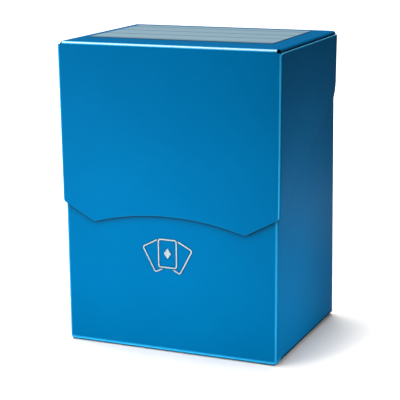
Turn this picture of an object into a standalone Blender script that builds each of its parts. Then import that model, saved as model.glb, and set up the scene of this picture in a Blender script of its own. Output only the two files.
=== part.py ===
"""Folded polypropylene card deck box with a hinged hood lid, shown closed.

Metres, +Z up, the front faces -Y, and the origin is under the middle of the closed box.
One die-cut sheet makes the box and its lid. Each panel between two creases is its own object.
"""

import math

import bmesh
import bpy
from mathutils import Matrix, Vector

MM = 0.001

# The sheet and its folds
SHEET = 0.5 * MM
FOLD = 1.1 * MM  # outside radius of a fold
FOLD_STEPS = 6
CREASE_GAP = 0.1 * MM  # between two panels that meet at a crease
LAYER_GAP = 0.1 * MM  # between two welded layers

# The box
BODY_WIDTH = 72 * MM
BODY_DEPTH = 56 * MM
OVERALL_HEIGHT = 98 * MM
FLAP_STANDOFF = 0.7 * MM  # from the box's front to the outside of the lid's front flap
LID_CLEARANCE = 0.4 * MM  # between the walls' top edges and the lid
FOOT_CLEARANCE = 1.2 * MM  # the cut lower edges of the side and rear walls stay off the ground
TAB_HEIGHT = 9 * MM
TAB_SLANT = 0.4  # how far a tab's ends slope in, as a share of its height
SEAM_TAB_WIDTH = 11 * MM
SEAM_TAB_CLEARANCE = 1 * MM  # above the base's tabs
BASE_CORNER = 2 * MM

# The lid
WING_STANDOFF_TOP = 1.25 * MM  # from the box's side to the outside of a wing
WING_STANDOFF_HEM = 0.75 * MM
LID_TAB_CLEARANCE = 0.1 * MM
RELIEF_RADIUS = 1.35 * MM  # round hole where the lid's three folds meet
RELIEF_TURN = 0.4  # keeps the ball's facets off the folds' own edges
HINGE_WEB = 0.3 * MM  # sheet left at the pressed hinge crease
HINGE_OFFSET = (0.1 * MM, 0.05 * MM)  # the hinge line lies this far behind and above the edge

# The hem: an arch between two rounded points, then straight lines that climb to the rear
POINT_X = 25.6 * MM
POINT_Z = 40.9 * MM
POINT_RADIUS = 1.6 * MM
ARCH_RISE = 3.7 * MM
HEM_SLOPE = 0.54
ARCH_STEPS = 24
WING_CORNER_RADIUS = 8 * MM
WING_CORNER_STEPS = 8
WING_SETBACK = 1.7 * MM  # from the box's rear to a wing's rear edge

# Label and foil emblem
LABEL_SIZE = (62.2 * MM, 37.8 * MM, 0.12 * MM)
LABEL_CENTRE = (-1.6 * MM, 4 * MM)
LABEL_CORNER = 0.8 * MM
PRINT_GAP = 0.05 * MM
FOIL = 0.08 * MM
STROKE = 0.42 * MM
CARD_SIZE = (6.5 * MM, 9.4 * MM)
CARD_CORNER = 0.9 * MM
CARD_ANGLE = math.radians(28)
CARD_PIVOT = 7.7 * MM  # from a card's middle down to the point it fans about
EMBLEM_CENTRE = (-0.5 * MM, 32.6 * MM)
PIP_SIZE = (2.4 * MM, 3.4 * MM)

# Levels that follow
HALF_WIDTH = BODY_WIDTH / 2
REAR = (BODY_DEPTH + FLAP_STANDOFF) / 2
FRONT = REAR - BODY_DEPTH
FLAP_FRONT = -REAR
TOP = OVERALL_HEIGHT
WALL_TOP = TOP - SHEET - LID_CLEARANCE
INNER_HALF = HALF_WIDTH - SHEET - LAYER_GAP  # outside of what is welded inside a side wall
INNER_REAR = REAR - SHEET - LAYER_GAP
TAB_HALF = HALF_WIDTH + LID_TAB_CLEARANCE + SHEET
WING_HALF = HALF_WIDTH + WING_STANDOFF_TOP
FOLD_END = TOP - FOLD - CREASE_GAP / 2
HEM_SPAN = TOP - POINT_Z
HINGE_Y = REAR + HINGE_OFFSET[0]
HINGE_Z = TOP + HINGE_OFFSET[1]

# How an outline's own axes lie in the world, by the axis it is extruded along
OUTLINE_FRAMES = {
    "X": Matrix(((0, 0, 1), (1, 0, 0), (0, 1, 0))),
    "Y": Matrix(((1, 0, 0), (0, 0, -1), (0, 1, 0))),
    "Z": Matrix.Identity(3),
}


def clear_scene():
    for obj in list(bpy.data.objects):
        bpy.data.objects.remove(obj, do_unlink=True)


def new_collection(name):
    collection = bpy.data.collections.new(name)
    bpy.context.scene.collection.children.link(collection)
    return collection


def plastic(name, colour, roughness, metallic=0.0):
    material = bpy.data.materials.new(name)
    material.use_nodes = True
    shader = material.node_tree.nodes["Principled BSDF"]
    shader.inputs["Base Color"].default_value = (*colour, 1)
    shader.inputs["Roughness"].default_value = roughness
    shader.inputs["Metallic"].default_value = metallic
    return material


def add_object(name, mesh, collection, material=None, parent=None):
    obj = bpy.data.objects.new(name, mesh)
    collection.objects.link(obj)
    if material:
        mesh.materials.append(material)
    if parent:
        obj.parent = parent
        obj.matrix_parent_inverse = parent.matrix_world.inverted()
    return obj


def arc(centre, radius, start, end, steps=FOLD_STEPS):
    """Points along an arc, from start to end in degrees."""
    angles = [math.radians(start + (end - start) * i / steps) for i in range(steps + 1)]
    return [(centre[0] + radius * math.cos(a), centre[1] + radius * math.sin(a)) for a in angles]


def rounded_corner(before, corner, after, radius, steps=FOLD_STEPS):
    """The arc that rounds one corner of an outline."""
    corner = Vector(corner)
    back = (Vector(before) - corner).normalized()
    on = (Vector(after) - corner).normalized()
    half = back.angle(on) / 2
    centre = corner + (back + on).normalized() * (radius / math.sin(half))
    start = corner + back * (radius / math.tan(half)) - centre
    turn = start.angle_signed(corner + on * (radius / math.tan(half)) - centre)
    return [
        tuple(centre + Matrix.Rotation(-turn * i / steps, 2) @ start) for i in range(steps + 1)
    ]


def rounded_outline(corners, radius):
    points = []
    for i, corner in enumerate(corners):
        points += rounded_corner(corners[i - 1], corner, corners[(i + 1) % len(corners)], radius)
    return points


def rectangle(size):
    half_x, half_y = size[0] / 2, size[1] / 2
    return [(-half_x, -half_y), (half_x, -half_y), (half_x, half_y), (-half_x, half_y)]


def prism_mesh(name, outlines, depth):
    """Flat outlines, filled and extruded to a closed mesh of this depth about their plane."""
    curve = bpy.data.curves.new(name + "_outline", "CURVE")
    curve.dimensions = "2D"
    curve.fill_mode = "BOTH"
    curve.extrude = depth / 2
    for outline in outlines:
        spline = curve.splines.new("POLY")
        spline.points.add(len(outline) - 1)
        for point, (u, v) in zip(spline.points, outline):
            point.co = (u, v, 0, 1)
        spline.use_cyclic_u = True
    drawn = bpy.data.objects.new(name + "_outline", curve)
    bpy.context.scene.collection.objects.link(drawn)
    bpy.context.view_layer.update()
    evaluated = drawn.evaluated_get(bpy.context.evaluated_depsgraph_get())
    mesh = bpy.data.meshes.new_from_object(evaluated)
    bpy.data.objects.remove(drawn, do_unlink=True)
    bpy.data.curves.remove(curve)
    mesh.name = name
    mesh.materials.clear()
    bm = bmesh.new()
    bm.from_mesh(mesh)
    bmesh.ops.remove_doubles(bm, verts=bm.verts, dist=0.001 * MM)
    bmesh.ops.recalc_face_normals(bm, faces=bm.faces)
    bm.to_mesh(mesh)
    bm.free()
    return mesh


def prism(name, outline, axis, low, high, collection, material=None, parent=None, window=None):
    """A flat outline extruded along a world axis, from low to high, with one window at most."""
    outlines = [outline, window] if window else [outline]
    mesh = prism_mesh(name, outlines, high - low)
    obj = add_object(name, mesh, collection, material, parent)
    middle = Vector([(low + high) / 2 if letter == axis else 0 for letter in "XYZ"])
    obj.matrix_world = Matrix.Translation(middle) @ OUTLINE_FRAMES[axis].to_4x4()
    return obj


def folded_strip(left, right):
    """Outline of a strip whose outside lies on the first axis and whose ends turn up in quarter folds."""
    inner = FOLD - SHEET
    left_centre = (FOLD - left, FOLD)
    right_centre = (right - FOLD, FOLD)
    return (
        arc(left_centre, FOLD, 180, 270)
        + arc(right_centre, FOLD, 270, 360)
        + arc(right_centre, inner, 360, 270)
        + arc(left_centre, inner, 270, 180)
    )


def shifted(outline, u=0.0, v=0.0, flip_v=False):
    return [(x + u, (-y if flip_v else y) + v) for x, y in outline]


def slab_mesh(name, low, high, *roundings):
    """A box. Each rounding is a test that picks edges by their ends, and a radius."""
    bm = bmesh.new()
    low, high = Vector(low), Vector(high)
    place = Matrix.Translation((low + high) / 2) @ Matrix.Diagonal((*(high - low), 1))
    bmesh.ops.create_cube(bm, size=1, matrix=place)
    for picks, radius in roundings:
        edges = [e for e in bm.edges if picks(*(v.co for v in e.verts))]
        bmesh.ops.bevel(
            bm, geom=edges, offset=radius, segments=FOLD_STEPS, profile=0.5, affect="EDGES"
        )
    mesh = bpy.data.meshes.new(name)
    bm.to_mesh(mesh)
    bm.free()
    return mesh


def cut(obj, cutter, operation="DIFFERENCE"):
    modifier = obj.modifiers.new(cutter.name, "BOOLEAN")
    modifier.operation = operation
    modifier.solver = "EXACT"
    modifier.object = cutter


def as_cutter(obj):
    obj.hide_render = True
    obj.display_type = "WIRE"
    return obj


def shade(obj):
    obj.data.shade_smooth()
    obj.data.set_sharp_from_angle(angle=math.radians(35))


def near(a, b):
    return abs(a - b) < 0.01 * MM


def box_walls(parts, sheet):
    """The four walls. The front and the back carry the vertical folds."""
    prism(
        "front_panel",
        shifted(folded_strip(HALF_WIDTH, HALF_WIDTH), v=FRONT),
        "Z", FOLD + CREASE_GAP, WALL_TOP, parts, sheet,
    )
    prism(
        "back_panel",
        shifted(folded_strip(INNER_HALF, HALF_WIDTH), v=REAR, flip_v=True),
        "Z", FOOT_CLEARANCE, TOP - FOLD - CREASE_GAP, parts, sheet,
    )
    wall_front = FRONT + FOLD + CREASE_GAP
    rear_ends = {"left": REAR - FOLD + CREASE_GAP, "right": REAR - FOLD - CREASE_GAP}
    for side, sign in (("left", -1), ("right", 1)):
        wall = [
            (wall_front, FOOT_CLEARANCE), (rear_ends[side], FOOT_CLEARANCE),
            (rear_ends[side], WALL_TOP), (wall_front, WALL_TOP),
        ]
        faces = sorted((sign * HALF_WIDTH, sign * (HALF_WIDTH - SHEET)))
        prism(side + "_side_panel", wall, "X", *faces, parts, sheet)


def tab_outline(start, end, root, tip):
    """A glue tab: it runs from start to end at its crease and is cut back at both ends of its tip."""
    slant = TAB_SLANT * abs(tip - root)
    return [(start, root), (end, root), (end - slant, tip), (start + slant, tip)]


def upright(a, b):
    return near(a.x, b.x) and near(a.y, b.y)


def at_level(z):
    return lambda a, b: near(a.z, z) and near(b.z, z)


def box_base(parts, sheet):
    """The base panel, folded up all round, and the three tabs welded inside the walls."""
    rim = FOLD + CREASE_GAP / 2
    mesh = slab_mesh(
        "base_panel", (-INNER_HALF, FRONT, 0), (INNER_HALF, INNER_REAR, rim),
        (upright, BASE_CORNER), (at_level(0), FOLD),
    )
    base = add_object("base_panel", mesh, parts, sheet)
    hollow = slab_mesh(
        "base_hollow",
        (SHEET - INNER_HALF, FRONT + SHEET, SHEET),
        (INNER_HALF - SHEET, INNER_REAR - SHEET, rim + FOLD),
        (upright, BASE_CORNER - SHEET), (at_level(SHEET), FOLD - SHEET),
    )
    cut(base, as_cutter(add_object("base_hollow", hollow, CUTTERS)))
    root = rim + CREASE_GAP
    side_tab = tab_outline(FRONT + FOLD, INNER_REAR - FOLD, root, TAB_HEIGHT)
    for side, sign in (("left", -1), ("right", 1)):
        faces = sorted((sign * INNER_HALF, sign * (INNER_HALF - SHEET)))
        prism("base_" + side + "_tab", side_tab, "X", *faces, parts, sheet)
    rear_tab = tab_outline(FOLD - INNER_HALF, INNER_HALF - FOLD, root, TAB_HEIGHT)
    prism("base_rear_tab", rear_tab, "Y", INNER_REAR - SHEET, INNER_REAR, parts, sheet)


def seam_tab(parts, sheet):
    """The tab that closes the sleeve, welded inside the left wall at the rear corner."""
    root = REAR - FOLD - CREASE_GAP
    bottom = TAB_HEIGHT + SEAM_TAB_CLEARANCE
    slant = TAB_SLANT * SEAM_TAB_WIDTH
    outline = [
        (root, bottom), (root, WALL_TOP - LAYER_GAP),
        (root - SEAM_TAB_WIDTH, WALL_TOP - slant), (root - SEAM_TAB_WIDTH, bottom + slant),
    ]
    prism("seam_tab", outline, "X", -INNER_HALF, SHEET - INNER_HALF, parts, sheet)


def relief_cutter(sign):
    """A ball on the point where the lid's three front folds meet."""
    corner = Vector((sign * (TAB_HALF + WING_HALF) / 2, FLAP_FRONT, TOP))
    bm = bmesh.new()
    place = Matrix.Translation(corner) @ Matrix.Rotation(RELIEF_TURN, 4, (1, 2, 3))
    bmesh.ops.create_icosphere(bm, subdivisions=2, radius=RELIEF_RADIUS, matrix=place)
    mesh = bpy.data.meshes.new("relief_cutter")
    bm.to_mesh(mesh)
    bm.free()
    side = "left" if sign < 0 else "right"
    return as_cutter(add_object("relief_cutter_" + side, mesh, CUTTERS))


def lid_top(parts, sheet, lid_axis, reliefs):
    """The lid's top panel, folded down in front and at both sides, plain at the hinge."""
    rear = REAR - FOLD - CREASE_GAP

    def folded(z):
        """The edges at this level, apart from the one along the hinge."""
        return lambda a, b: at_level(z)(a, b) and min(a.y, b.y) < 0

    mesh = slab_mesh(
        "lid_top_panel", (-TAB_HALF, FLAP_FRONT, FOLD_END), (TAB_HALF, rear, TOP),
        (folded(TOP), FOLD),
    )
    top = add_object("lid_top_panel", mesh, parts, sheet, lid_axis)
    hollow = slab_mesh(
        "lid_hollow",
        (SHEET - TAB_HALF, FLAP_FRONT + SHEET, FOLD_END - FOLD),
        (TAB_HALF - SHEET, rear + FOLD, TOP - SHEET),
        (folded(TOP - SHEET), FOLD - SHEET),
    )
    cut(top, as_cutter(add_object("lid_hollow", hollow, CUTTERS)))
    for relief in reliefs:
        cut(top, relief)


def hem_outline():
    """Everything under the front flap's lower edge, in front view."""
    reach = WING_HALF + FOLD
    end_z = POINT_Z + HEM_SLOPE * (reach - POINT_X)
    radius = (POINT_X**2 + ARCH_RISE**2) / (2 * ARCH_RISE)
    centre = (0.0, POINT_Z + ARCH_RISE - radius)
    half_angle = math.degrees(math.asin(POINT_X / radius))
    arch = arc(centre, radius, 90 + half_angle, 90 - half_angle, steps=ARCH_STEPS)
    left_end, right_end = (-reach, end_z), (reach, end_z)
    edge = (
        [left_end]
        + rounded_corner(left_end, arch[0], arch[1], POINT_RADIUS)
        + arch[2:-2]
        + rounded_corner(arch[-2], arch[-1], right_end, POINT_RADIUS)
        + [right_end]
    )
    bottom = POINT_Z - ARCH_RISE
    return edge + [(reach, bottom), (-reach, bottom)]


def wing_lean(z):
    """How far a wing has come in towards the box at this height."""
    return (WING_STANDOFF_TOP - WING_STANDOFF_HEM) * (TOP - z) / HEM_SPAN


def lid_front(parts, sheet, lid_axis, reliefs):
    """The front flap with the two vertical folds that carry the wings."""
    low, high = POINT_Z - FOLD, FOLD_END - CREASE_GAP
    strip = shifted(folded_strip(WING_HALF, WING_HALF), v=FLAP_FRONT)
    flap = prism("lid_front_flap", strip, "Z", low, high, parts, sheet, lid_axis)
    middle = (low + high) / 2
    for vertex in flap.data.vertices:
        if abs(vertex.co.x) > WING_HALF - FOLD - 0.01 * MM:
            vertex.co.x -= math.copysign(wing_lean(vertex.co.z + middle), vertex.co.x)
    hem = prism("hem_cutter", hem_outline(), "Y", 2 * FLAP_FRONT, 0, CUTTERS)
    cut(flap, as_cutter(hem))
    for relief in reliefs:
        cut(flap, relief)


def wing_outline():
    """A wing in side view: its hem climbs from the front fold to a rounded rear corner."""
    front, rear = FLAP_FRONT + FOLD + CREASE_GAP, REAR - WING_SETBACK
    top = FOLD_END
    front_z = POINT_Z + HEM_SLOPE * (WING_HALF - POINT_X + front - FLAP_FRONT)
    rear_z = front_z + HEM_SLOPE * (rear - front)
    corner = rounded_corner(
        (front, front_z), (rear, rear_z), (rear, top), WING_CORNER_RADIUS, WING_CORNER_STEPS
    )
    return [(front, front_z)] + corner + [(rear, top), (front, top)]


def lid_sides(parts, sheet, lid_axis):
    """The wings of the front flap and, inside them, the tabs of the top panel."""
    lean = math.atan((WING_STANDOFF_TOP - WING_STANDOFF_HEM) / HEM_SPAN)
    tab_top = FOLD_END - CREASE_GAP
    tab_tip = tab_top - TAB_HEIGHT
    tab = tab_outline(FLAP_FRONT + 2 * FOLD, REAR - WING_SETBACK - FOLD, tab_top, tab_tip)
    for side, sign in (("left", -1), ("right", 1)):
        faces = sorted((sign * WING_HALF, sign * (WING_HALF - SHEET)))
        wing = prism(
            "lid_" + side + "_wing", wing_outline(), "X", *faces, parts, sheet, lid_axis
        )
        top_edge = Vector((sign * WING_HALF, 0, TOP))
        swing = Matrix.Rotation(sign * lean, 4, "Y")
        about_top = Matrix.Translation(top_edge) @ swing @ Matrix.Translation(-top_edge)
        wing.matrix_world = about_top @ wing.matrix_world
        tab_faces = sorted((sign * TAB_HALF, sign * (TAB_HALF - SHEET)))
        prism("lid_" + side + "_tab", tab, "X", *tab_faces, parts, sheet, lid_axis)


def hinge(parts, sheet):
    """The pressed living hinge, a thin web round the rear top edge."""
    centre = (REAR - FOLD, TOP - FOLD)
    web = arc(centre, FOLD, 0, 90) + arc(centre, FOLD - HINGE_WEB, 90, 0)
    half = INNER_HALF - FOLD
    prism("lid_hinge", web, "X", -half, half, parts, sheet)


def label(parts, paper, lid_axis):
    """The write-on label on the lid."""
    outline = shifted(rounded_outline(rectangle(LABEL_SIZE), LABEL_CORNER), *LABEL_CENTRE)
    low = TOP + PRINT_GAP
    prism("write_on_label", outline, "Z", low, low + LABEL_SIZE[2], parts, paper, lid_axis)


def fanned(outline, angle):
    """An outline turned about the fan's pivot, which lies below its middle."""
    turn = Matrix.Rotation(angle, 2)
    pivot = Vector((0, -CARD_PIVOT))
    return [tuple(turn @ (Vector(point) - pivot) + pivot) for point in outline]


def card_fan(parts, foil):
    """A fan of three card outlines with a pip, stamped in foil on the front."""
    front, back = FRONT - PRINT_GAP - FOIL, FRONT - PRINT_GAP

    def card(inset, angle):
        """A card's outline, made smaller by the inset and fanned to its angle."""
        size = [side - 2 * inset for side in CARD_SIZE]
        outline = rounded_outline(rectangle(size), CARD_CORNER - inset)
        return shifted(fanned(outline, angle), *EMBLEM_CENTRE)

    around_centre = prism("emblem_gap", card(-STROKE, 0), "Y", front - MM, back + MM, CUTTERS)
    as_cutter(around_centre)
    for side, angle in (("left", CARD_ANGLE), ("centre", 0), ("right", -CARD_ANGLE)):
        ring = prism(
            "emblem_card_" + side, card(0, angle), "Y", front, back, parts, foil,
            window=card(STROKE, angle),
        )
        if angle:
            cut(ring, around_centre)
    half_x, half_z = PIP_SIZE[0] / 2, PIP_SIZE[1] / 2
    diamond = shifted([(0, -half_z), (half_x, 0), (0, half_z), (-half_x, 0)], *EMBLEM_CENTRE)
    prism("emblem_pip", diamond, "Y", front, back, parts, foil)


def build():
    parts = new_collection("card_deck_box")
    sheet = plastic("blue_polypropylene", (0.0, 0.18, 0.45), 0.42)
    paper = plastic("label_paper", (0.38, 0.42, 0.49), 0.6)
    foil = plastic("silver_foil", (0.75, 0.78, 0.8), 0.3, metallic=0.8)

    lid_axis = bpy.data.objects.new("lid_axis", None)
    lid_axis.location = (0, HINGE_Y, HINGE_Z)
    parts.objects.link(lid_axis)
    bpy.context.view_layer.update()

    box_walls(parts, sheet)
    box_base(parts, sheet)
    seam_tab(parts, sheet)
    hinge(parts, sheet)
    card_fan(parts, foil)

    reliefs = [relief_cutter(sign) for sign in (-1, 1)]
    lid_top(parts, sheet, lid_axis, reliefs)
    lid_front(parts, sheet, lid_axis, reliefs)
    lid_sides(parts, sheet, lid_axis)
    label(parts, paper, lid_axis)

    for obj in parts.objects:
        if obj.type == "MESH":
            shade(obj)


clear_scene()
CUTTERS = new_collection("cutters")
build()
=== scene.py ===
"""The look of the card deck box: frosted blue polypropylene, a ruled label and a foil emblem."""

import bisect
import math

import bmesh
import bpy
from mathutils import Matrix, Vector


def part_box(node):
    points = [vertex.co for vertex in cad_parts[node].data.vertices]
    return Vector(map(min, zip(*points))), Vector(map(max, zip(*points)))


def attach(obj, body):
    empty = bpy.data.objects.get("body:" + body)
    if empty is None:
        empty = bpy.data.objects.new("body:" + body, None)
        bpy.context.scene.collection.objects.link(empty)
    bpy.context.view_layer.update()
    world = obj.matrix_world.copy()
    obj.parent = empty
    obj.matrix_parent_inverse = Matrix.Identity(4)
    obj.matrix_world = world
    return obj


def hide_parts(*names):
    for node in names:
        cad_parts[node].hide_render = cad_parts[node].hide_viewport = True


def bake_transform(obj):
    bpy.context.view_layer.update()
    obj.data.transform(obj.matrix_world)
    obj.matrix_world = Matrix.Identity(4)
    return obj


MM = 0.001

# The sheet and its folds
SHEET = 0.5 * MM
FOLD = 1.1 * MM  # outside radius of a fold
FOLD_STEPS = 8
HALF_FOLD = math.pi / 4 * FOLD  # from a fold's middle line to its end, along the sheet
CUT_EDGE = 0.07 * MM  # softening of a die-cut edge
BUTT_GAP = 0.02 * MM  # between a skin and the hinge, which goes on from it
CREASE_PALE_HALF_WIDTH = 0.5 * MM  # half the width of the pale line along a crease: stress whitening with a painted highlight
FRONT_TOP_PALE_HALF_WIDTH = 0.68 * MM  # the same, along the lid's front top edge
EDGE_BAND = 0.3 * MM  # width of the pale line along a cut edge
PANEL_STEP = 6 * MM  # between the points of a flat panel
WELD = 0.005 * MM  # points of two grids that lie closer than this are joined
EDGE_SEGMENTS = 2
EDGE_ANGLE = math.radians(50)  # edges sharper than this are softened

# How strongly each crease or edge is paled, from 0 to 1, by stress whitening and a painted
# highlight, or darkened by painted shade, below 0
FRONT_TOP_CREASE = 1.0
LID_CORNER_CREASE = 0.42
BOX_CORNER_CREASE = 0.26
BASE_CREASE = 0.38
HINGE_CREASE = 0.3
HEM_EDGE = 0.05
WING_TOP_EDGE = 0.55
CREASE_LEAN = 0.25 * MM  # the corner creases' pale lines lie this far towards the front
GROUND_PAINTED_SHADE = -1.0  # painted shade where the base meets the ground, a dark sheet colour standing in for its shadow

# The base fold runs out at the lower front corners
BASE_CREASE_ANGLE = 12  # degrees round the base fold from the front to its pale line
PAINTED_SHADE_START = 30  # the same, for where the painted shade starts
PAINTED_SHADE_FULL = 48  # and for where the painted shade is full
CORNER_WRAP = 0.5  # how much of the base fold is left where a side wall starts
CORNER_REACH = 4 * MM  # where it has run out along a side wall
CORNER_STEP = 0.5 * MM  # between the points along that stretch
BASE_RELIEF = 1.5 * MM  # slot between the base's rims at its corners
WALL_SHARE = 0.05  # between the rows of a wall, as a share of its height
SIDE_FLARE = 0.85 * MM  # the right wall's rear foot stands out this far

# The lid
HEM_POINT_X = 25.6 * MM
HEM_POINT_RADIUS = 1.6 * MM
HEM_ARCH_RISE = 3.7 * MM
HEM_ARCH_STEPS = 14
HEM_SLOPE = 0.54
WING_LEAN = 0.5 * MM  # how far a wing comes in from the top down to the flap's lowest level
WING_CORNER_RADIUS = 8 * MM
WING_CORNER_STEPS = 10
WING_FIRST_STEPS = (0.15 * MM, 0.4 * MM)  # points of a wing close beside the vertical fold
RELIEF_RADIUS = 1.15 * MM  # hole where the lid's creases meet, measured on the flat sheet
HINGE_SHEET = 0.3 * MM
HINGE_STEPS = 16
LID_STEP = 4 * MM  # between the points along the lid
LID_ROWS = 20

# Colours
PLASTIC_DEEP = (0.0, 0.084, 0.210)
PLASTIC_LIGHT = (0.0, 0.091, 0.225)
# Painted shade: the near-black that stands in for shadow where the sheet meets the ground and in
# gaps under overlapping edges
PLASTIC_PAINTED_SHADE = (0.004, 0.012, 0.018)
# Pale crease tones: the sheet's stress whitening, brightened into a painted highlight along the
# folds
CREASE_PALE_AND_HIGHLIGHT = (0.03, 0.40, 0.72)
CREASE_WHITE_AND_HIGHLIGHT = (0.60, 0.68, 0.62)
GLOSS_TINT = (0.05, 0.6, 1.0)
PLASTIC_GLOSS = 0.018
FILM_GLOSS = 0.35
FOIL_METALLIC = 0.15
LABEL_DARK = (0.129, 0.217, 0.271)
LABEL_PALE = (0.149, 0.239, 0.293)
FOIL_DARK = (0.10, 0.15, 0.18)
FOIL_PALE = (0.17, 0.22, 0.25)
LABEL_RULE = (0.01, 0.02, 0.03)

# The crease value at which the light tone is full and the white one starts
CREASE_TURN = 0.5

# Surfaces: the range of the noise that is used, its scales, and roughness from low to high
NOISE_RANGE = (0.3, 0.7)
CLOUD_SCALE = 35
GRAIN_SCALE = 5000
FILM_SCALE = 2500
MOTTLE_SCALE = 2200
PLASTIC_ROUGHNESS = (0.36, 0.46)
FILM_ROUGHNESS = (0.5, 0.6)
FOIL_ROUGHNESS = (0.3, 0.42)
GRAIN_STRENGTH = 0.25
GRAIN_DEPTH = 0.02 * MM

# The label's ruled lines
RULE_PITCH = 10.5 * MM
RULE_PLACE = 11.9 * MM  # from the label's front edge to the second line from the front
RULE_EDGE = 0.4 * MM  # from a line's middle to where it starts to show
RULE_CORE = 0.3 * MM  # from a line's middle to where it is fully dark

# Painted shade in the gap under an overlapping edge, from ambient occlusion
GAP_REACH = 3 * MM
GAP_CONTRAST = 5
GAP_LEVELS = (6 * MM, 12 * MM)  # it fades in between these heights
GAP_SAMPLES = 8

# Camera
LENS = 116.31  # millimetres, like the sensor
SENSOR = 36
NEAR_CLIP = 0.01
CAMERA_PLACE = (159.837 * MM, -383.248 * MM, 142.675 * MM)
CAMERA_AZIMUTH = math.radians(22.757)
CAMERA_ELEVATION = math.radians(13.394)
CAMERA_ROLL = math.radians(-0.465)

# Studio
WORLD_LIGHT = 0.06
FLOOR_HALF = 6
FLOOR_LIFT = 1.0
FLOOR_BOUNCE = 0.22
FLOOR_COLOUR = (0.89, 0.87, 0.85)
FLOOR_ROUGHNESS = 0.9
FLOOR_LIFT_REACH = (0.10, 0.4)  # the floor's lift starts and ends this far from the object's middle
# Name, place, length of a side and power of each softbox
SOFTBOXES = (
    ("overhead_left_softbox", (-0.20, 0.05, 0.85), 0.4, 7.2),
    ("overhead_rear_softbox", (-0.05, 0.30, 0.85), 0.35, 4.4),
    ("upper_front_softbox", (-0.06, -0.13, 0.21), 0.06, 0.12),
    ("low_left_softbox", (-0.13, -0.17, 0.02), 0.1, 0.6),
    ("low_front_softbox", (0.0, -0.10, 0.004), 0.08, 0.19),
    ("low_right_softbox", (0.09, -0.02, 0.004), 0.05, 0.115),
    ("rear_right_softbox", (0.078, 0.125, 0.005), 0.04, 0.004),
)

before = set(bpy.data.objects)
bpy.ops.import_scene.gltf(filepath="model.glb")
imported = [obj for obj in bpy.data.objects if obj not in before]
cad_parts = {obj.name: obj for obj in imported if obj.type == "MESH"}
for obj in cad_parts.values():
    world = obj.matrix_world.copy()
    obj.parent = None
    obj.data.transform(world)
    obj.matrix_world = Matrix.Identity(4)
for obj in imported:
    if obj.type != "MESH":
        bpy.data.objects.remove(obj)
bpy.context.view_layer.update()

# Places, from the frame
HALF_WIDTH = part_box("front_panel")[1].x
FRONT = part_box("front_panel")[0].y
WALL_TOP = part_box("front_panel")[1].z
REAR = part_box("back_panel")[1].y
INNER_HALF = -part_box("back_panel")[0].x
BACK_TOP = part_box("back_panel")[1].z
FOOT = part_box("right_side_panel")[0].z
SEAM_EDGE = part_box("left_side_panel")[1].y
BASE_HALF, BASE_REAR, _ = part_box("base_panel")[1]
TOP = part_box("lid_top_panel")[1].z
TOP_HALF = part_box("lid_top_panel")[1].x
LID_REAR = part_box("lid_top_panel")[1].y
FLAP_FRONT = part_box("lid_front_flap")[0].y
HEM_POINT_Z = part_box("lid_front_flap")[0].z
WING_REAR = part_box("lid_right_wing")[1].y
WING_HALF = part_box("lid_right_wing")[1].x
WING_HEM_HALF = WING_HALF - WING_LEAN
BOX_MIDDLE = Vector((0, 0, TOP / 2))


# Outlines

def arc(centre, radius, start, end, steps=FOLD_STEPS):
    """Points along an arc, from start to end in degrees."""
    angles = [math.radians(start + (end - start) * i / steps) for i in range(steps + 1)]
    return [(centre[0] + radius * math.cos(a), centre[1] + radius * math.sin(a)) for a in angles]


def rounded_corner(before, corner, after, radius, steps=FOLD_STEPS):
    """The arc that rounds one corner of an outline."""
    corner = Vector(corner)
    back = (Vector(before) - corner).normalized()
    on = (Vector(after) - corner).normalized()
    half = back.angle(on) / 2
    centre = corner + (back + on).normalized() * (radius / math.sin(half))
    start = corner + back * (radius / math.tan(half)) - centre
    turn = start.angle_signed(corner + on * (radius / math.tan(half)) - centre)
    return [
        tuple(centre + Matrix.Rotation(-turn * i / steps, 2) @ start) for i in range(steps + 1)
    ]


def evenly(start, end, step):
    """Values from start to end, about a step apart."""
    count = max(1, round(abs(end - start) / step))
    return [start + (end - start) * i / count for i in range(count + 1)]


def polyline(points):
    """A function that reads the height of a left-to-right polyline anywhere along it."""
    across = [p[0] for p in points]

    def height(x):
        i = min(max(bisect.bisect_right(across, x), 1), len(points) - 1)
        (x0, z0), (x1, z1) = points[i - 1], points[i]
        return z0 + (z1 - z0) * (x - x0) / (x1 - x0)

    return height


def ease(t):
    """A smooth step from 0 to 1."""
    t = min(max(t, 0), 1)
    return t * t * (3 - 2 * t)


# Sheets

def add_grid(bm, rows, crease_layer, creases):
    """A grid of faces through rows of points. Each point's crease value goes with it."""
    verts = []
    for points, values in zip(rows, creases):
        line = []
        for point, value in zip(points, values):
            vert = bm.verts.new(point)
            vert[crease_layer] = value
            line.append(vert)
        verts.append(line)
    for lower, upper in zip(verts, verts[1:]):
        for a, b, c, d in zip(lower, lower[1:], upper[1:], upper):
            bm.faces.new((a, b, c, d))


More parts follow.
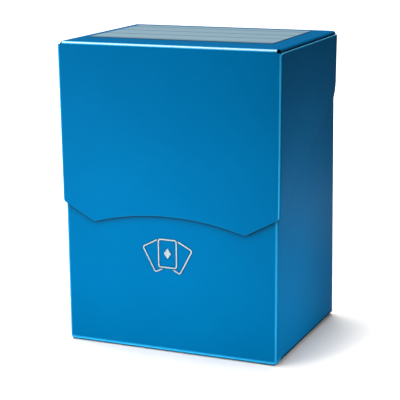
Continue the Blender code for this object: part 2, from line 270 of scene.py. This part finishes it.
def folded_sheet(name, grids, material, thickness=SHEET):
    """One sheet made of grids that share edges: the grids give its outer face."""
    bm = bmesh.new()
    crease = bm.verts.layers.float.new("crease")
    for rows, creases in grids:
        add_grid(bm, rows, crease, creases)
    bmesh.ops.remove_doubles(bm, verts=bm.verts, dist=WELD)
    bmesh.ops.recalc_face_normals(bm, faces=bm.faces)
    outward = sum((f.calc_center_median() - BOX_MIDDLE).dot(f.normal) for f in bm.faces)
    if outward < 0:
        bmesh.ops.reverse_faces(bm, faces=bm.faces)
    mesh = bpy.data.meshes.new(name)
    bm.to_mesh(mesh)
    bm.free()
    mesh.materials.append(material)
    mesh.shade_smooth()
    sheet = bpy.data.objects.new(name, mesh)
    bpy.context.scene.collection.objects.link(sheet)
    solid = sheet.modifiers.new("sheet_thickness", "SOLIDIFY")
    solid.thickness = thickness
    solid.offset = -1
    solid.use_even_offset = True
    bevel = sheet.modifiers.new("cut_edges", "BEVEL")
    bevel.width = CUT_EDGE
    bevel.segments = EDGE_SEGMENTS
    bevel.limit_method = "ANGLE"
    bevel.angle_limit = EDGE_ANGLE
    bevel.harden_normals = True
    return sheet


# The box

def crease_value(length, strength, half_width=CREASE_PALE_HALF_WIDTH):
    """How pale the sheet is at this distance from a crease's middle line: stress whitening with a
    painted highlight.
    """
    return strength * ease(1 - abs(length) / half_width)


def along_fold(step, steps=FOLD_STEPS):
    """Distance along the sheet from the middle of a fold to one of its steps."""
    return HALF_FOLD * (2 * step / steps - 1)


def vertical_fold(x, y, start, end, wrap_start, wrap_end, lean_on=0):
    """Wall columns round one vertical fold, whose centre is at x, y."""
    columns = []
    for i, place in enumerate(arc((x, y), FOLD, start, end)):
        wrap = wrap_start + (wrap_end - wrap_start) * i / FOLD_STEPS
        inward = (Vector((x, y)) - Vector(place)).normalized()
        # The corner crease's pale line: stress whitening with a painted highlight
        crease = crease_value(along_fold(i) + lean_on, BOX_CORNER_CREASE)
        columns.append((place, inward, wrap, crease))
    return columns


def wall_columns():
    """The sleeve from above, from the left wall's rear edge round to the seam.

    Each column is its place, the direction inward, how much of the base fold it has,
    and how white its crease is.
    """
    fold_x, fold_y, rear_y = HALF_WIDTH - FOLD, FRONT + FOLD, REAR - FOLD
    seam_x = INNER_HALF - FOLD

    def side(x, ys):
        columns = []
        for y in ys:
            wrap = CORNER_WRAP * ease(1 - (y - fold_y) / CORNER_REACH)
            columns.append(((x, y), Vector((-math.copysign(1, x), 0)), wrap, 0))
        return columns

    corner_ys = evenly(fold_y, fold_y + CORNER_REACH, CORNER_STEP)[1:]
    side_ys = corner_ys + evenly(corner_ys[-1], rear_y, PANEL_STEP)[1:]
    left_ys = corner_ys + evenly(corner_ys[-1], SEAM_EDGE, PANEL_STEP)[1:]
    front = [((x, FRONT), Vector((0, 1)), 1, 0) for x in base_columns()]
    back = [((x, REAR), Vector((0, -1)), 0, 0) for x in evenly(fold_x, -seam_x, PANEL_STEP)]
    return (
        side(-HALF_WIDTH, reversed(left_ys))
        + vertical_fold(-fold_x, fold_y, 180, 270, CORNER_WRAP, 1, -CREASE_LEAN)
        + front
        + vertical_fold(fold_x, fold_y, 270, 360, 1, CORNER_WRAP, CREASE_LEAN)
        + side(HALF_WIDTH, side_ys[:-1])
        + vertical_fold(fold_x, rear_y, 0, 90, 0, 0)
        + back[1:-1]
        + vertical_fold(-seam_x, rear_y, 90, 180, 0, 0)
    )


def base_columns():
    """Places across the base, which its front fold and the front wall share."""
    half = BASE_HALF - FOLD
    return evenly(-half, half, PANEL_STEP)


def flared(x, y, z):
    """The walls' real stance: the right one stands out towards its rear foot."""
    rearward = (y - FRONT) / (REAR - FRONT)
    return (x + SIDE_FLARE * rearward * (1 - z / WALL_TOP) * max(0, x / HALF_WIDTH), y, z)


def wall_grid():
    """Front, right, back and left walls with the fold that joins the front to the base."""
    columns = wall_columns()
    rows, creases = [], []
    for angle in evenly(90, 0, 90 / FOLD_STEPS):
        turn = math.radians(angle)
        length = FOLD * math.radians(angle - BASE_CREASE_ANGLE)
        row, values = [], []
        for place, inward, wrap, crease in columns:
            foot = FOOT * (1 - wrap)
            x, y = Vector(place) + inward * (FOLD * wrap * (1 - math.cos(turn)))
            row.append(flared(x, y, foot + FOLD * (1 - math.sin(turn))))
            # The corner and base creases' pale lines: stress whitening with a painted highlight
            whitened_and_highlighted = max(crease * math.cos(turn), wrap * crease_value(length, BASE_CREASE))
            # Painted shade: low on the base fold the sheet turns dark where it meets the ground
            shade_from_angle = PAINTED_SHADE_START * wrap
            shade_share = ease((angle - shade_from_angle) / (PAINTED_SHADE_FULL - shade_from_angle))
            values.append(whitened_and_highlighted * (1 - shade_share) + GROUND_PAINTED_SHADE * shade_share)
        rows.append(row)
        creases.append(values)
    # The base crease fades out in the first row above its fold
    for share in evenly(0, 1, WALL_SHARE):
        row = []
        for (x, y), _, wrap, _ in columns:
            on_back = y > REAR - FOLD / 2 and x < HALF_WIDTH - FOLD / 2
            high = BACK_TOP if on_back else WALL_TOP
            low = FOOT * (1 - wrap) + FOLD + CREASE_PALE_HALF_WIDTH
            row.append(flared(x, y, low + (high - low) * share))
        rows.append(row)
        creases.append([crease for _, _, _, crease in columns])
    return rows, creases


def plain(rows, value=0):
    """A grid with the same crease value all over."""
    return rows, [[value] * len(row) for row in rows]


def base_grids():
    """The base, and the rims that turn up into its welded tabs."""
    front_y, rear_y = FRONT + FOLD, BASE_REAR - FOLD
    levels = [front_y] + evenly(front_y + BASE_RELIEF, rear_y - BASE_RELIEF, PANEL_STEP) + [rear_y]
    floor = [[(x, y, 0) for x in base_columns()] for y in levels]
    rear_rim = [
        [(x, y, z) for x in base_columns()] for y, z in arc((rear_y, FOLD), FOLD, 270, 360)[1:]
    ]
    # The base and its rims are painted dark all over: painted shade where they sit on the ground
    grids = [plain(floor + rear_rim, GROUND_PAINTED_SHADE)]
    for sign in (-1, 1):
        turn = arc((BASE_HALF - FOLD, FOLD), FOLD, 270, 360)
        rim = [[(sign * x, y, z) for x, z in turn] for y in levels[1:-1]]
        grids.append(plain(rim, GROUND_PAINTED_SHADE))
    return grids


def box_sleeve(material):
    """The walls and the base as one folded sheet."""
    return folded_sheet("box_sleeve", [wall_grid()] + base_grids(), material)


# The lid

def hem_line():
    """The front flap's lower edge, from its middle out to the right."""
    radius = (HEM_POINT_X**2 + HEM_ARCH_RISE**2) / (2 * HEM_ARCH_RISE)
    centre = (0.0, HEM_POINT_Z + HEM_ARCH_RISE - radius)
    half_angle = math.degrees(math.asin(HEM_POINT_X / radius))
    arch = arc(centre, radius, 90, 90 - half_angle, steps=HEM_ARCH_STEPS)
    end = (2 * WING_HALF, HEM_POINT_Z + HEM_SLOPE * (2 * WING_HALF - HEM_POINT_X))
    return arch[:-2] + rounded_corner(arch[-2], arch[-1], end, HEM_POINT_RADIUS) + [end]


HEM = hem_line()
hem_height = polyline(HEM)


def down_to_hem(high, low):
    """Levels from a fold or a top edge down to a cut edge, with a narrow band beside each."""
    first, last = high - EDGE_BAND, low + EDGE_BAND
    between = [first + (last - first) * i / LID_ROWS for i in range(LID_ROWS + 1)]
    return [high] + between + [low]


def lean(z):
    """How far a wing has come in at this height."""
    return (WING_HALF - WING_HEM_HALF) * (TOP - z) / (TOP - HEM_POINT_Z)


def lid_middle():
    """The top, the front fold and the flap between the vertical folds."""
    edge = TOP_HALF - FOLD
    right_half = [x for x, _ in HEM if x < edge] + [edge]
    columns = [-x for x in reversed(right_half[1:])] + right_half
    fold_y, fold_z = FLAP_FRONT + FOLD, TOP - FOLD
    rows = [[(x, y, TOP) for x in columns] for y in evenly(LID_REAR, fold_y, LID_STEP)]
    creases = [[0] * len(columns) for _ in rows]
    for i, (y, z) in enumerate(arc((fold_y, fold_z), FOLD, 90, 180)[1:-1], 1):
        rows.append([(x, y, z) for x in columns])
        # The front top crease is painted near-white: stress whitening with a painted highlight
        crease = crease_value(along_fold(i), FRONT_TOP_CREASE, FRONT_TOP_PALE_HALF_WIDTH)
        creases.append([crease] * len(columns))
    strips = []
    for x in columns:
        levels = down_to_hem(fold_z, hem_height(abs(x)))
        strips.append([(x, FLAP_FRONT, z) for z in levels])
    rows += [list(row) for row in zip(*strips)]
    # The hem's cut edge gets a faint pale line, a painted highlight along the edge
    creases += [[0] * len(columns) for _ in strips[0][:-1]] + [[HEM_EDGE] * len(columns)]
    return rows, creases


def wing_line():
    """A wing's lower edge in side view, from the vertical fold to the rear edge."""
    front = FLAP_FRONT + FOLD
    front_z = HEM_POINT_Z + HEM_SLOPE * (WING_HALF - HEM_POINT_X + FOLD)
    rear_z = front_z + HEM_SLOPE * (WING_REAR - front)
    corner = rounded_corner(
        (front, front_z),
        (WING_REAR, rear_z),
        (WING_REAR, TOP),
        WING_CORNER_RADIUS,
        steps=WING_CORNER_STEPS,
    )
    return [(front, front_z)] + corner


def relief(length):
    """How far the hole where the creases meet reaches past a fold, beside its middle line."""
    if abs(length) >= RELIEF_RADIUS:
        return 0
    return max(0, math.sqrt(RELIEF_RADIUS**2 - length**2) - HALF_FOLD)


def lid_side(sign):
    """The flap's vertical fold with its wing."""
    edge = TOP_HALF - FOLD
    fold_x, fold_y, fold_z = WING_HALF - FOLD, FLAP_FRONT + FOLD, TOP - FOLD
    wing = wing_line()
    wing_height = polyline(wing)
    # Across the flap, round the fold and along the wing: x, y, length from the fold's middle
    stations = [(edge, FLAP_FRONT, edge - fold_x - HALF_FOLD)]
    turn = arc((fold_x, fold_y), FOLD, 270, 360)
    stations += [(x, y, along_fold(i)) for i, (x, y) in enumerate(turn)]
    bends = [y for y, _ in wing[1:-1]]
    ys = [fold_y + step for step in WING_FIRST_STEPS] + evenly(fold_y, bends[0], LID_STEP)[1:-1]
    ys += bends + [WING_REAR]
    stations += [(WING_HALF, y, HALF_FOLD + y - fold_y) for y in ys]
    strips, whitening = [], []
    for x, y, length in stations:
        if y > fold_y:
            low = wing_height(y)
        else:
            low = HEM_POINT_Z + HEM_SLOPE * (x - HEM_POINT_X + y - FLAP_FRONT)
        strip = []
        for z in down_to_hem(fold_z - relief(length), low):
            inward = lean(z) * ease((x - edge) / (WING_HALF - edge))
            strip.append((sign * (x - inward), y, z))
        strips.append(strip)
        # Pale creases and the wing's top cut edge carry a painted highlight as well as stress
        # whitening
        crease = crease_value(length + CREASE_LEAN, LID_CORNER_CREASE)
        values = [crease] * len(strip)
        values[-1] = max(crease, HEM_EDGE)
        if length > 0:
            values[0] = max(crease, WING_TOP_EDGE)
        whitening.append(values)
    return [list(row) for row in zip(*strips)], [list(row) for row in zip(*whitening)]


def top_side_fold(sign):
    """The fold along a side of the top, from the rear to the relief hole."""
    fold_y, fold_z = FLAP_FRONT + FOLD, TOP - FOLD
    levels = evenly(LID_REAR, fold_y, LID_STEP)
    turn = arc((TOP_HALF - FOLD, fold_z), FOLD, 90, 0)
    rows = [[(sign * x, y, z) for x, z in turn] for y in levels]
    rows[-1] = [
        (x, y + relief(along_fold(i)), z) for i, (x, y, z) in enumerate(rows[-1])
    ]
    return plain(rows)


def lid_hood(material):
    """The top, the flap and both wings as one folded sheet."""
    grids = [lid_middle()]
    for sign in (1, -1):
        grids += [lid_side(sign), top_side_fold(sign)]
    return folded_sheet("lid_hood", grids, material)


def hinge_web(material):
    """The living hinge: a thin strip round the rear top edge, from the back wall to the lid."""
    half = INNER_HALF - FOLD
    bend = arc((REAR - FOLD, TOP - FOLD), FOLD, 0, 90, steps=HINGE_STEPS)
    path = [(REAR, BACK_TOP + BUTT_GAP)] + bend + [(LID_REAR + BUTT_GAP, TOP)]
    columns = evenly(-half, half, PANEL_STEP)
    rows = [[(x, y, z) for x in columns] for y, z in path]
    middle = (len(path) - 1) / 2
    creases = [
        [crease_value(FOLD * math.pi / 2 * (i - middle) / HINGE_STEPS, HINGE_CREASE)] * len(columns)
        for i in range(len(path))
    ]
    return folded_sheet("hinge_web", [(rows, creases)], material, HINGE_SHEET)


# Materials

def new_material(name):
    """A material with its nodes, its links and its main shader."""
    material = bpy.data.materials.new(name)
    material.use_nodes = True
    nodes = material.node_tree.nodes
    return material, nodes, material.node_tree.links, nodes["Principled BSDF"]


def object_noise(nodes, links, scale, detail=2.0):
    """Noise in the object's own space."""
    place = nodes.new("ShaderNodeTexCoord")
    noise = nodes.new("ShaderNodeTexNoise")
    noise.inputs["Scale"].default_value = scale
    noise.inputs["Detail"].default_value = detail
    links.new(place.outputs["Object"], noise.inputs["Vector"])
    return noise


def remap(nodes, links, source, low, high, new_low, new_high):
    """A value moved from one range to another."""
    node = nodes.new("ShaderNodeMapRange")
    for name, value in (
        ("From Min", low), ("From Max", high), ("To Min", new_low), ("To Max", new_high)
    ):
        node.inputs[name].default_value = value
    links.new(source, node.inputs["Value"])
    return node.outputs["Result"]


def colour_mix(nodes, links, share, first, second):
    """Two colours mixed: each is a constant or another node's output."""
    node = nodes.new("ShaderNodeMix")
    node.data_type = "RGBA"
    links.new(share, node.inputs["Factor"])
    for socket, colour in ((node.inputs["A"], first), (node.inputs["B"], second)):
        if isinstance(colour, tuple):
            socket.default_value = (*colour, 1)
        else:
            links.new(colour, socket)
    return node.outputs["Result"]


def under_edge(nodes, links):
    """How much painted shade a point gets in the gap beside an overlapping sheet, well above the
    ground.
    """
    gap = nodes.new("ShaderNodeAmbientOcclusion")
    gap.samples = GAP_SAMPLES
    gap.inputs["Distance"].default_value = GAP_REACH
    openness = nodes.new("ShaderNodeMath")
    openness.operation = "POWER"
    openness.inputs[1].default_value = GAP_CONTRAST
    links.new(gap.outputs["AO"], openness.inputs[0])
    place = nodes.new("ShaderNodeTexCoord")
    parts = nodes.new("ShaderNodeSeparateXYZ")
    links.new(place.outputs["Object"], parts.inputs["Vector"])
    above = remap(nodes, links, parts.outputs["Z"], *GAP_LEVELS, 0, 1)
    depth = nodes.new("ShaderNodeMath")
    depth.operation = "MULTIPLY_ADD"
    links.new(openness.outputs["Value"], depth.inputs[0])
    depth.inputs[1].default_value = -1
    depth.inputs[2].default_value = 1
    shaded = nodes.new("ShaderNodeMath")
    shaded.operation = "MULTIPLY"
    links.new(depth.outputs["Value"], shaded.inputs[0])
    links.new(above, shaded.inputs[1])
    return shaded.outputs["Value"]


def polypropylene():
    """Frosted sheet: fine grain, a slight clouding, pale creases of stress whitening with a painted
    highlight, and painted shade at the ground and under overlapping edges.
    """
    material, nodes, links, shader = new_material("frosted_polypropylene")
    clouds = object_noise(nodes, links, CLOUD_SCALE, detail=3.0)
    cloud_share = remap(nodes, links, clouds.outputs["Fac"], *NOISE_RANGE, 0, 1)
    body = colour_mix(nodes, links, cloud_share, PLASTIC_DEEP, PLASTIC_LIGHT)
    crease = nodes.new("ShaderNodeAttribute")
    crease.attribute_name = "crease"
    # The crease tones paint pale lines: stress whitening with a painted highlight
    light_part = remap(nodes, links, crease.outputs["Fac"], 0, CREASE_TURN, 0, 1)
    white_part = remap(nodes, links, crease.outputs["Fac"], CREASE_TURN, 1, 0, 1)
    creased = colour_mix(nodes, links, light_part, body, CREASE_PALE_AND_HIGHLIGHT)
    whitened_and_highlighted = colour_mix(nodes, links, white_part, creased, CREASE_WHITE_AND_HIGHLIGHT)
    # Painted shade where the base meets the ground
    painted_shade_part = remap(nodes, links, crease.outputs["Fac"], 0, GROUND_PAINTED_SHADE, 0, 1)
    with_painted_shade = colour_mix(nodes, links, painted_shade_part, whitened_and_highlighted, PLASTIC_PAINTED_SHADE)
    # Painted shade in the gap under an overlapping edge, such as below the flap's hem
    colour = colour_mix(nodes, links, under_edge(nodes, links), with_painted_shade, PLASTIC_PAINTED_SHADE)
    links.new(colour, shader.inputs["Base Color"])
    grain = object_noise(nodes, links, GRAIN_SCALE)
    rough = remap(nodes, links, grain.outputs["Fac"], *NOISE_RANGE, *PLASTIC_ROUGHNESS)
    links.new(rough, shader.inputs["Roughness"])
    bump = nodes.new("ShaderNodeBump")
    bump.inputs["Strength"].default_value = GRAIN_STRENGTH
    bump.inputs["Distance"].default_value = GRAIN_DEPTH
    links.new(grain.outputs["Fac"], bump.inputs["Height"])
    links.new(bump.outputs["Normal"], shader.inputs["Normal"])
    shader.inputs["Specular IOR Level"].default_value = PLASTIC_GLOSS
    shader.inputs["Specular Tint"].default_value = (*GLOSS_TINT, 1)
    return material


def label_film():
    """Matte silver-grey write-on film with four ruled lines."""
    material, nodes, links, shader = new_material("write_on_film")
    low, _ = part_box("write_on_label")
    place = nodes.new("ShaderNodeTexCoord")
    parts = nodes.new("ShaderNodeSeparateXYZ")
    links.new(place.outputs["Object"], parts.inputs["Vector"])
    paper_noise = object_noise(nodes, links, FILM_SCALE, detail=3.0)
    share = remap(nodes, links, paper_noise.outputs["Fac"], *NOISE_RANGE, 0, 1)
    paper = colour_mix(nodes, links, share, LABEL_DARK, LABEL_PALE)
    # The lines repeat along the label's depth
    second_line = low.y + RULE_PLACE
    shifted = nodes.new("ShaderNodeMath")
    shifted.operation = "SUBTRACT"
    shifted.inputs[1].default_value = second_line - RULE_PITCH / 2
    links.new(parts.outputs["Y"], shifted.inputs[0])
    wrapped = nodes.new("ShaderNodeMath")
    wrapped.operation = "PINGPONG"
    wrapped.inputs[1].default_value = RULE_PITCH / 2
    links.new(shifted.outputs["Value"], wrapped.inputs[0])
    line_start, line_full = RULE_PITCH / 2 - RULE_EDGE, RULE_PITCH / 2 - RULE_CORE
    on_line = remap(nodes, links, wrapped.outputs["Value"], line_start, line_full, 0, 1)
    colour = colour_mix(nodes, links, on_line, paper, LABEL_RULE)
    links.new(colour, shader.inputs["Base Color"])
    rough = remap(nodes, links, paper_noise.outputs["Fac"], *NOISE_RANGE, *FILM_ROUGHNESS)
    links.new(rough, shader.inputs["Roughness"])
    shader.inputs["Specular IOR Level"].default_value = FILM_GLOSS
    return material


def stamped_foil():
    """Satin silver foil with fine stamping mottle."""
    material, nodes, links, shader = new_material("stamped_foil")
    mottle = object_noise(nodes, links, MOTTLE_SCALE)
    share = remap(nodes, links, mottle.outputs["Fac"], *NOISE_RANGE, 0, 1)
    colour = colour_mix(nodes, links, share, FOIL_DARK, FOIL_PALE)
    links.new(colour, shader.inputs["Base Color"])
    rough = remap(nodes, links, mottle.outputs["Fac"], *NOISE_RANGE, *FOIL_ROUGHNESS)
    links.new(rough, shader.inputs["Roughness"])
    shader.inputs["Metallic"].default_value = FOIL_METALLIC
    return material


def floor_material():
    """Plain white floor, lifted to even white away from the object, that bounces little light."""
    material, nodes, links, shader = new_material("pale_floor")
    place = nodes.new("ShaderNodeTexCoord")
    away = nodes.new("ShaderNodeVectorMath")
    away.operation = "LENGTH"
    links.new(place.outputs["Object"], away.inputs[0])
    lift = remap(nodes, links, away.outputs["Value"], *FLOOR_LIFT_REACH, 0, FLOOR_LIFT)
    links.new(lift, shader.inputs["Emission Strength"])
    shader.inputs["Emission Color"].default_value = (1, 1, 1, 1)
    shader.inputs["Base Color"].default_value = (*FLOOR_COLOUR, 1)
    shader.inputs["Roughness"].default_value = FLOOR_ROUGHNESS
    shader.inputs["Specular IOR Level"].default_value = 0
    bounce = nodes.new("ShaderNodeBsdfDiffuse")
    bounce.inputs["Color"].default_value = (FLOOR_BOUNCE, FLOOR_BOUNCE, FLOOR_BOUNCE, 1)
    rays = nodes.new("ShaderNodeLightPath")
    either = nodes.new("ShaderNodeMixShader")
    links.new(rays.outputs["Is Camera Ray"], either.inputs["Fac"])
    links.new(bounce.outputs["BSDF"], either.inputs[1])
    links.new(shader.outputs["BSDF"], either.inputs[2])
    links.new(either.outputs["Shader"], nodes["Material Output"].inputs["Surface"])
    return material


# Studio

def softbox(name, place, size, power):
    """A square lamp turned to the object."""
    light = bpy.data.lights.new(name, "AREA")
    light.shape = "SQUARE"
    light.size = size
    light.energy = power
    lamp = bpy.data.objects.new(name, light)
    lamp.location = place
    lamp.rotation_euler = (BOX_MIDDLE - Vector(place)).to_track_quat("-Z", "Y").to_euler()
    lamp.visible_camera = False
    bpy.context.scene.collection.objects.link(lamp)


def make_studio():
    scene = bpy.context.scene
    scene.view_settings.view_transform = "Standard"
    world = bpy.data.worlds.new("studio")
    world.use_nodes = True
    background = world.node_tree.nodes["Background"]
    background.inputs["Color"].default_value = (1, 1, 1, 1)
    background.inputs["Strength"].default_value = WORLD_LIGHT
    scene.world = world
    for name, place, size, power in SOFTBOXES:
        softbox(name, place, size, power)


def make_floor():
    mesh = bpy.data.meshes.new("floor")
    bm = bmesh.new()
    bmesh.ops.create_grid(bm, x_segments=1, y_segments=1, size=FLOOR_HALF)
    bm.to_mesh(mesh)
    bm.free()
    mesh.materials.append(floor_material())
    floor = bpy.data.objects.new("floor", mesh)
    bpy.context.scene.collection.objects.link(floor)


def make_camera():
    camera = bpy.data.cameras.new("camera")
    camera.lens = LENS
    camera.sensor_width = SENSOR
    camera.clip_start = NEAR_CLIP
    lens = bpy.data.objects.new("camera", camera)
    across, up = math.cos(CAMERA_ELEVATION), math.sin(CAMERA_ELEVATION)
    back = Vector((math.sin(CAMERA_AZIMUTH) * across, -math.cos(CAMERA_AZIMUTH) * across, up))
    turn = back.to_track_quat("Z", "Y").to_matrix() @ Matrix.Rotation(CAMERA_ROLL, 3, "Z")
    lens.matrix_world = Matrix.Translation(CAMERA_PLACE) @ turn.to_4x4()
    bpy.context.scene.collection.objects.link(lens)
    bpy.context.scene.camera = lens


make_camera()
make_floor()
make_studio()

plastic = polypropylene()
label = label_film()
foil = stamped_foil()
for name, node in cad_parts.items():
    if name.startswith("emblem"):
        finish = foil
    elif name == "write_on_label":
        finish = label
    else:
        finish = plastic
    node.data.materials.clear()
    node.data.materials.append(finish)

sleeve = box_sleeve(plastic)
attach(sleeve, "box")
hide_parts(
    "front_panel", "back_panel", "left_side_panel", "right_side_panel", "base_panel"
)
hood = lid_hood(plastic)
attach(hood, "lid")
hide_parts("lid_top_panel", "lid_front_flap", "lid_left_wing", "lid_right_wing")
web = hinge_web(plastic)
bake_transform(web)
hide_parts("lid_hinge")
